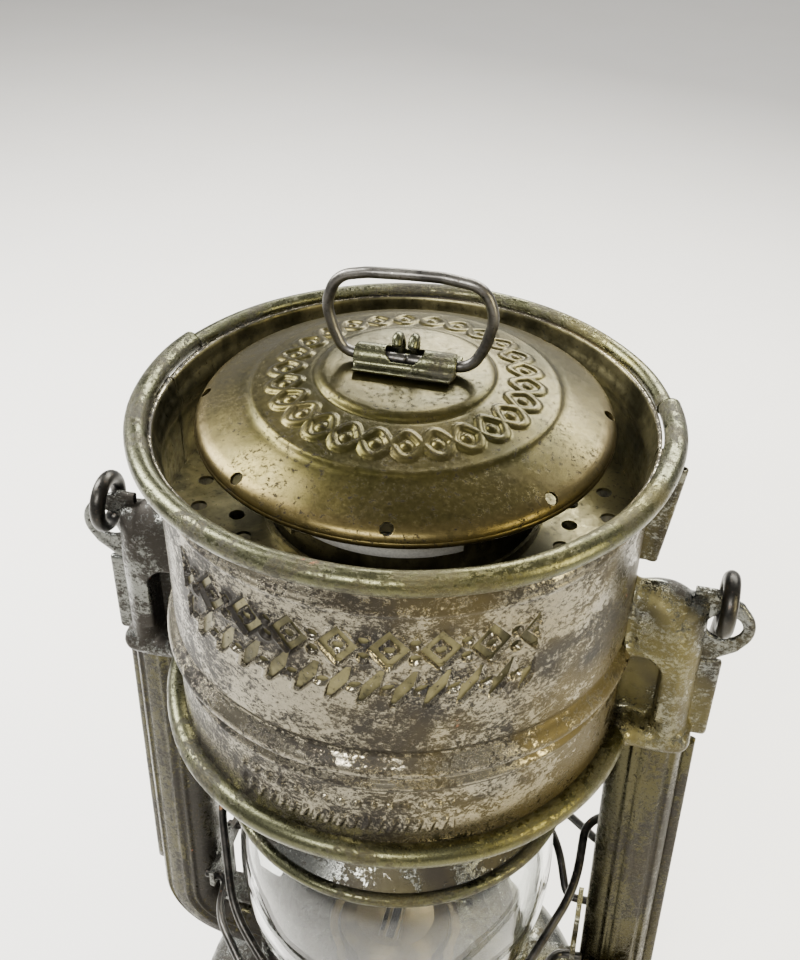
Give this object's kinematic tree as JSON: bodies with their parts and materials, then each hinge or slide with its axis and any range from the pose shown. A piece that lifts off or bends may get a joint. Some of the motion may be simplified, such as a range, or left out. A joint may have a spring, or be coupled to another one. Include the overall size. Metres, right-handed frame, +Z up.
{
  "type": "tubular storm lantern",
  "caption": "Tinplate storm lantern with side air tubes, lifting glass globe, round wind-proof drum, vented cap with ring, and wire bail.",
  "frame": {"origin": "centre of the round foot, on the surface it stands on", "axes": "+Z up; -Y towards the front; +X towards the side tube with the lift lever"},
  "size_m": [0.137, 0.1064, 0.2479],
  "materials": {
    "tinplate": "aged tinplate, mottled with tarnish",
    "cap_sheet": "heat-tinted tinplate with an olive cast",
    "steel_wire": "dark drawn wire",
    "glass": "clear pressed glass",
    "wick": "woven cotton tape",
    "brass": "dull brass",
    "cork": "pressed sealing ring"
  },
  "bodies": {
    "frame": {"drum_front_shell": "tinplate", "drum_rear_shell": "tinplate", "drum_bottom_pan": "tinplate", "drum_seam_strips": "tinplate", "elbow_left": "tinplate", "elbow_right": "tinplate", "air_baffle_ring": "tinplate", "bail_ear_left": "tinplate", "bail_ear_right": "tinplate", "side_tube_left": "tinplate", "side_tube_right": "tinplate", "burner_chamber": "tinplate", "lever_bracket": "tinplate", "fount_top_shell": "tinplate", "fount_bottom": "tinplate", "fount_foot_seam": "tinplate", "filler_neck": "tinplate", "lever_pin": "steel_wire", "shaft_bushing": "brass", "burner_collar": "brass", "wick_tube": "brass", "burner_cone": "brass"},
    "globe_cradle": {"globe_plate": "tinplate", "cradle_bracket_left": "tinplate", "cradle_bracket_right": "tinplate", "guard_wires_front": "steel_wire", "guard_wires_rear": "steel_wire", "globe": "glass"},
    "chimney": {"chimney_bell": "tinplate", "chimney_tube": "tinplate", "cap_straps": "tinplate", "cap_rivets": "tinplate", "chimney_cap": "cap_sheet", "ring_clip": "cap_sheet", "clip_tabs": "cap_sheet", "chimney_spring": "steel_wire"},
    "lifting_ring": {"cap_ring": "steel_wire"},
    "lift_lever": {"lift_lever": "tinplate"},
    "bail": {"bail": "steel_wire"},
    "wick_wheel": {"wick_shaft": "steel_wire", "wick_spurs": "brass", "wick_knob": "brass"},
    "wick": {"wick": "wick"},
    "filler_seal": {"filler_gasket": "cork"},
    "filler_cap": {"filler_cap": "tinplate"}
  },
  "joints": [
    {"name": "globe_lift", "type": "slide", "parent": "frame", "child": "globe_cradle", "axis": [0, 0, 1], "range_m": [0, 0.01]},
    {"name": "chimney_lift", "type": "slide", "parent": "globe_cradle", "child": "chimney", "axis": [0, 0, 1], "range_m": [0, 0.02], "stiffness_N_per_m": 60, "springref_m": -0.02, "deforming": ["chimney_spring"]},
    {"name": "cap_ring_tilt", "type": "hinge", "parent": "chimney", "child": "lifting_ring", "pos_m": [0, 0, 0.23035], "axis": [1, 0, 0], "range_deg": [-74, 74]},
    {"name": "lever_swing", "type": "hinge", "parent": "frame", "child": "lift_lever", "pos_m": [0.052, -0.01, 0.071], "axis": [0, 1, 0], "range_deg": [0, 45]},
    {"name": "bail_swing", "type": "hinge", "parent": "frame", "child": "bail", "pos_m": [0, 0, 0.1875], "axis": [1, 0, 0], "range_deg": [0, 306]},
    {"name": "wick_turn", "type": "hinge", "parent": "frame", "child": "wick_wheel", "pos_m": [0.0052, -0.02, 0.049], "axis": [0, 1, 0], "range_deg": [-45, 135]},
    {"name": "wick_slide", "type": "slide", "parent": "frame", "child": "wick", "axis": [0, 0, 1], "range_m": [-0.0032, 0.0095]},
    {"name": "filler_rise", "type": "slide", "parent": "frame", "child": "filler_seal", "axis": [0, 0, 1], "range_m": [0, 0.0061]},
    {"name": "filler_turn", "type": "hinge", "parent": "filler_seal", "child": "filler_cap", "pos_m": [-0.0272, -0.0272, 0.046], "axis": [0, 0, 1], "range_deg": [0, 1080]}
  ],
  "couplings": [
    {"joint": "lever_swing", "follows": "globe_lift", "rad_per_m": 78.54},
    {"joint": "wick_slide", "follows": "wick_turn", "m_per_rad": 0.004},
    {"joint": "filler_rise", "follows": "filler_turn", "m_per_rad": 0.0003183}
  ]
}
